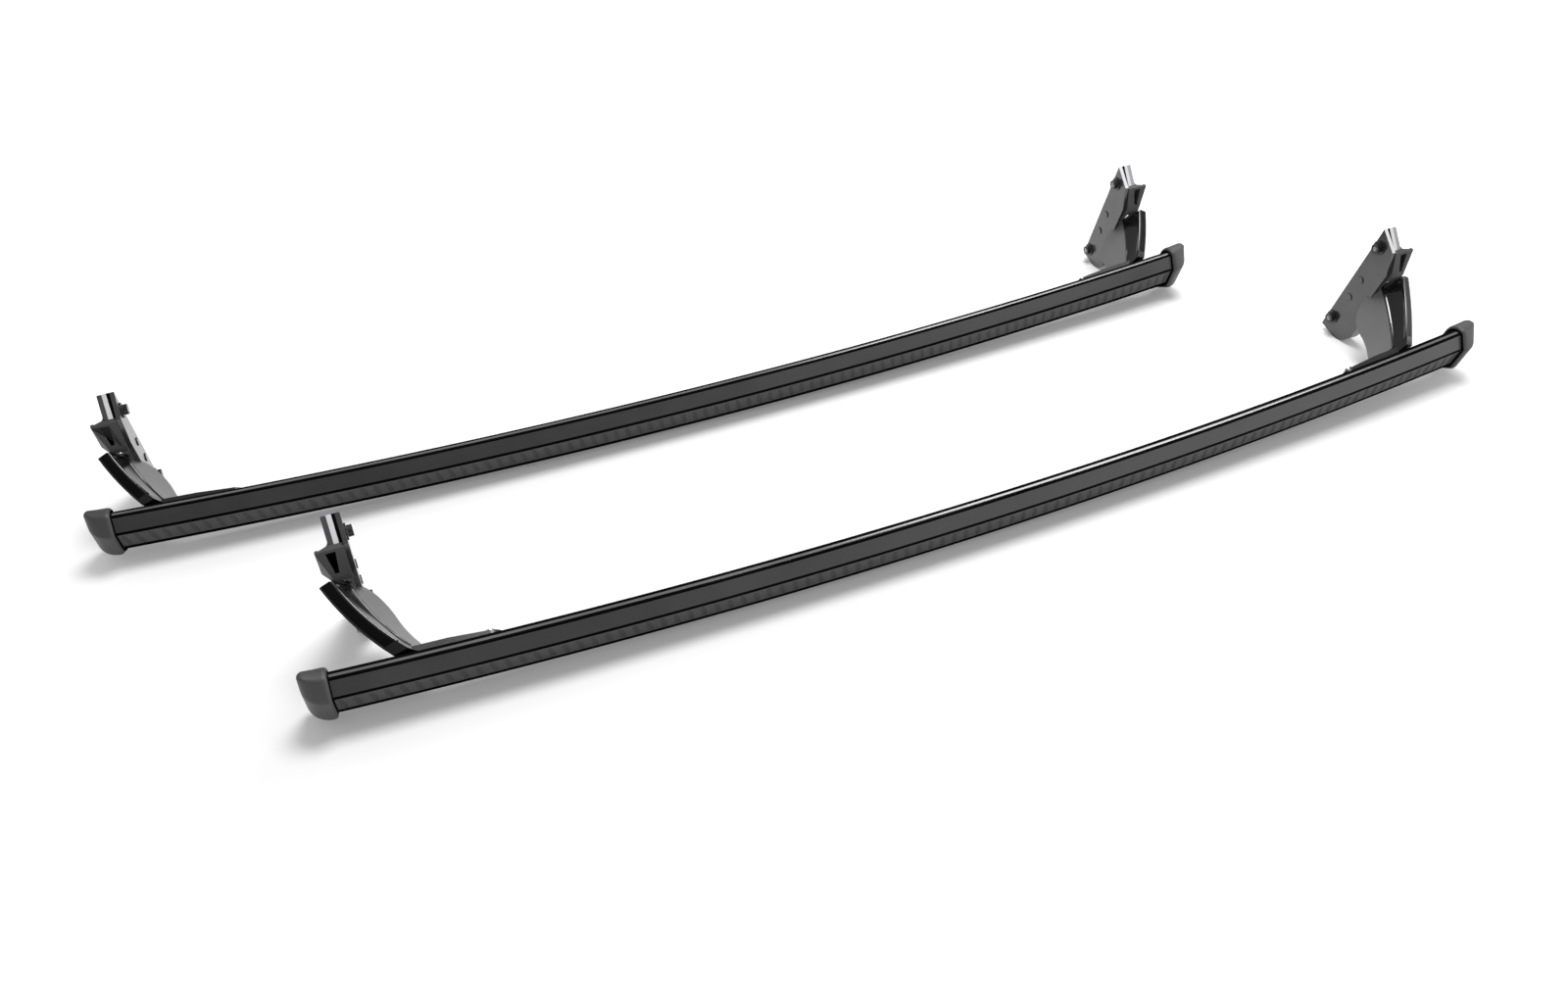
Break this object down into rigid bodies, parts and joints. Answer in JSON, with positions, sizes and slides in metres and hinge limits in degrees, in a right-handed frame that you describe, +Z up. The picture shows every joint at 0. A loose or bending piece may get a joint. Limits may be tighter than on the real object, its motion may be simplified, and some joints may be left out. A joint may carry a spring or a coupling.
{
  "type": "pair of roof cross bars",
  "caption": "Bowed roof cross bars with ribbed rubber treads and clamp feet that fasten to a car's side rails, laid tread side forward.",
  "frame": {"origin": "centre of the bounding box on the floor that the bars lie on", "axes": "+X along the front bar towards the right end of the picture, +Y from the front bar to the rear bar, +Z up from the floor"},
  "size_m": [1.3498, 0.4602, 0.1456],
  "materials": {
    "bar_black": "satin black coat on aluminium",
    "tread_rubber": "ribbed matte rubber",
    "cap_plastic": "fine matte grain",
    "leg_grey": "matte grey coat on cast aluminium",
    "gloss_black": "high gloss",
    "hook_plastic": "matte",
    "pad_rubber": "pale matte",
    "plate_black": "satin coat on steel",
    "screw_steel": "black oxide",
    "base_screw_steel": "zinc grey",
    "nut_steel": "zinc"
  },
  "bodies": {
    "root": {"front_bar_extrusion": "bar_black", "front_tread_strip": "tread_rubber", "front_end_cap_left": "cap_plastic", "front_end_cap_right": "cap_plastic", "rear_bar_extrusion": "bar_black", "rear_tread_strip": "tread_rubber", "rear_end_cap_left": "cap_plastic", "rear_end_cap_right": "cap_plastic", "front_left_leg": "leg_grey", "front_left_leg_cover": "gloss_black", "front_left_rail_hook": "hook_plastic", "front_left_rail_pad": "pad_rubber", "front_left_clamp_plate": "plate_black", "front_left_rail_screws": "screw_steel", "front_left_plate_rivets": "screw_steel", "front_left_base_gasket": "tread_rubber", "front_left_base_screws": "base_screw_steel", "front_left_rivet_nuts": "nut_steel", "front_right_leg": "leg_grey", "front_right_leg_cover": "gloss_black", "front_right_rail_hook": "hook_plastic", "front_right_rail_pad": "pad_rubber", "front_right_clamp_plate": "plate_black", "front_right_rail_screws": "screw_steel", "front_right_plate_rivets": "screw_steel", "front_right_base_gasket": "tread_rubber", "front_right_base_screws": "base_screw_steel", "front_right_rivet_nuts": "nut_steel", "rear_left_leg": "leg_grey", "rear_left_leg_cover": "gloss_black", "rear_left_rail_hook": "hook_plastic", "rear_left_rail_pad": "pad_rubber", "rear_left_clamp_plate": "plate_black", "rear_left_rail_screws": "screw_steel", "rear_left_plate_rivets": "screw_steel", "rear_left_base_gasket": "tread_rubber", "rear_left_base_screws": "base_screw_steel", "rear_left_rivet_nuts": "nut_steel", "rear_right_leg": "leg_grey", "rear_right_leg_cover": "gloss_black", "rear_right_rail_hook": "hook_plastic", "rear_right_rail_pad": "pad_rubber", "rear_right_clamp_plate": "plate_black", "rear_right_rail_screws": "screw_steel", "rear_right_plate_rivets": "screw_steel", "rear_right_base_gasket": "tread_rubber", "rear_right_base_screws": "base_screw_steel", "rear_right_rivet_nuts": "nut_steel"}
  },
  "joints": []
}
